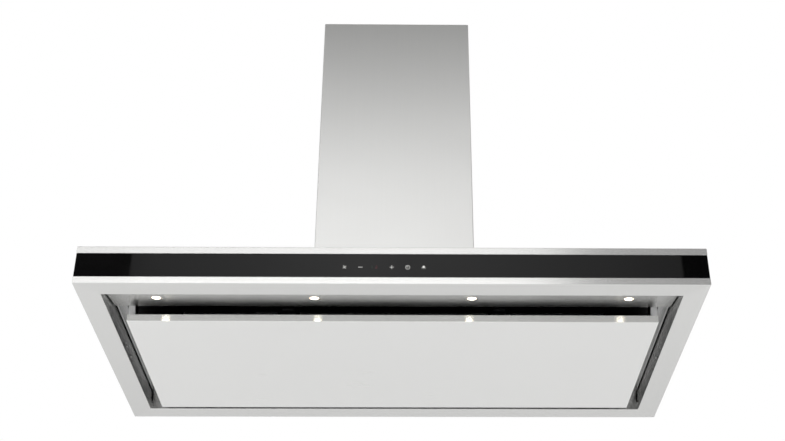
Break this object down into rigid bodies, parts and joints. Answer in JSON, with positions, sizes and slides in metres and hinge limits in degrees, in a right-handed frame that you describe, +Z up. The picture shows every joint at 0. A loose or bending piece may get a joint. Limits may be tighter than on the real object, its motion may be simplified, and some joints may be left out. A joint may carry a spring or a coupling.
{
  "type": "island range hood",
  "caption": "Flat steel island range hood with black glass edge strips, four lamps, a hinged perimeter suction panel and a telescopic ceiling chimney.",
  "frame": {"origin": "centre of the ceiling plate's top face, where the hood is screwed to the ceiling", "axes": "+Z up towards the ceiling, front with the touch controls towards -Y, width along X"},
  "size_m": [1.2, 0.65, 0.777],
  "materials": {
    "brushed_steel": "fine brushed stainless steel",
    "panel_steel": "bright, finely brushed stainless steel",
    "black_glass": "polished, opaque black-backed glass",
    "galvanised_steel": "galvanised sheet",
    "bright_steel": "ground",
    "aluminium": "mill finish",
    "dark_plastic": "fine moulded texture",
    "grey_plastic": "fine moulded texture",
    "circuit_board": "lacquered board",
    "lamp_chrome": "polished",
    "lamp_lens": "frosted, lit warm white"
  },
  "bodies": {
    "ceiling_frame": {"ceiling_plate": "galvanised_steel", "upper_post_front_left": "galvanised_steel", "upper_post_front_right": "galvanised_steel", "upper_post_rear_left": "galvanised_steel", "upper_post_rear_right": "galvanised_steel", "upper_sleeve_front": "brushed_steel", "upper_sleeve_rear": "brushed_steel"},
    "hood": {"rim_frame": "brushed_steel", "top_casing": "brushed_steel", "light_plate": "brushed_steel", "lower_sleeve_front": "brushed_steel", "lower_sleeve_rear": "brushed_steel", "front_glass": "black_glass", "rear_glass": "black_glass", "left_glass": "black_glass", "right_glass": "black_glass", "lower_post_front_left": "galvanised_steel", "lower_post_front_right": "galvanised_steel", "lower_post_rear_left": "galvanised_steel", "lower_post_rear_right": "galvanised_steel", "body_carcass": "galvanised_steel", "filter_liner": "brushed_steel", "motor_box": "galvanised_steel", "motor_bracket": "galvanised_steel", "motor": "galvanised_steel", "hinge_bracket_left": "galvanised_steel", "hinge_bracket_right": "galvanised_steel", "lamp_body_1": "lamp_chrome", "lamp_lens_1": "lamp_lens", "lamp_body_2": "lamp_chrome", "lamp_lens_2": "lamp_lens", "lamp_body_3": "lamp_chrome", "lamp_lens_3": "lamp_lens", "lamp_body_4": "lamp_chrome", "lamp_lens_4": "lamp_lens", "grease_filter_left": "aluminium", "grease_filter_right": "aluminium", "blower_housing": "dark_plastic", "inlet_ring": "dark_plastic", "outlet_collar": "dark_plastic", "cable_gland": "dark_plastic", "panel_magnet_left": "bright_steel", "panel_magnet_right": "bright_steel", "flap_pin": "bright_steel", "hinge_pin_left": "bright_steel", "hinge_pin_right": "bright_steel", "control_box": "grey_plastic", "control_box_lid": "grey_plastic", "led_driver": "grey_plastic", "touch_board": "circuit_board"},
    "panel": {"panel_tray": "panel_steel", "panel_inner_pan": "galvanised_steel", "panel_hinge_leaf_left": "galvanised_steel", "panel_hinge_leaf_right": "galvanised_steel"},
    "impeller": {"impeller": "dark_plastic", "motor_shaft": "bright_steel"},
    "front_flap": {"damper_flap_front": "aluminium"},
    "rear_flap": {"damper_flap_rear": "aluminium"},
    "left_latch": {"filter_latch_left": "dark_plastic"},
    "right_latch": {"filter_latch_right": "dark_plastic"}
  },
  "joints": [
    {"name": "height_adjust", "type": "slide", "parent": "ceiling_frame", "child": "hood", "axis": [0, 0, -1], "range_m": [0, 0.3]},
    {"name": "panel_hinge", "type": "hinge", "parent": "hood", "child": "panel", "pos_m": [0, 0.2595, -0.766], "axis": [1, 0, 0], "range_deg": [0, 85]},
    {"name": "impeller_spin", "type": "hinge", "parent": "hood", "child": "impeller", "pos_m": [0, 0, -0.572], "axis": [1, 0, 0], "continuous": true},
    {"name": "front_flap_hinge", "type": "hinge", "parent": "hood", "child": "front_flap", "pos_m": [0, 0, -0.402], "axis": [-1, 0, 0], "range_deg": [0, 75]},
    {"name": "rear_flap_hinge", "type": "hinge", "parent": "hood", "child": "rear_flap", "pos_m": [0, 0, -0.402], "axis": [1, 0, 0], "range_deg": [0, 75]},
    {"name": "left_latch_slide", "type": "slide", "parent": "hood", "child": "left_latch", "axis": [0, 1, 0], "range_m": [0, 0.006], "stiffness_N_per_m": 400, "springref_m": -0.004},
    {"name": "right_latch_slide", "type": "slide", "parent": "hood", "child": "right_latch", "axis": [0, 1, 0], "range_m": [0, 0.006], "stiffness_N_per_m": 400, "springref_m": -0.004}
  ]
}
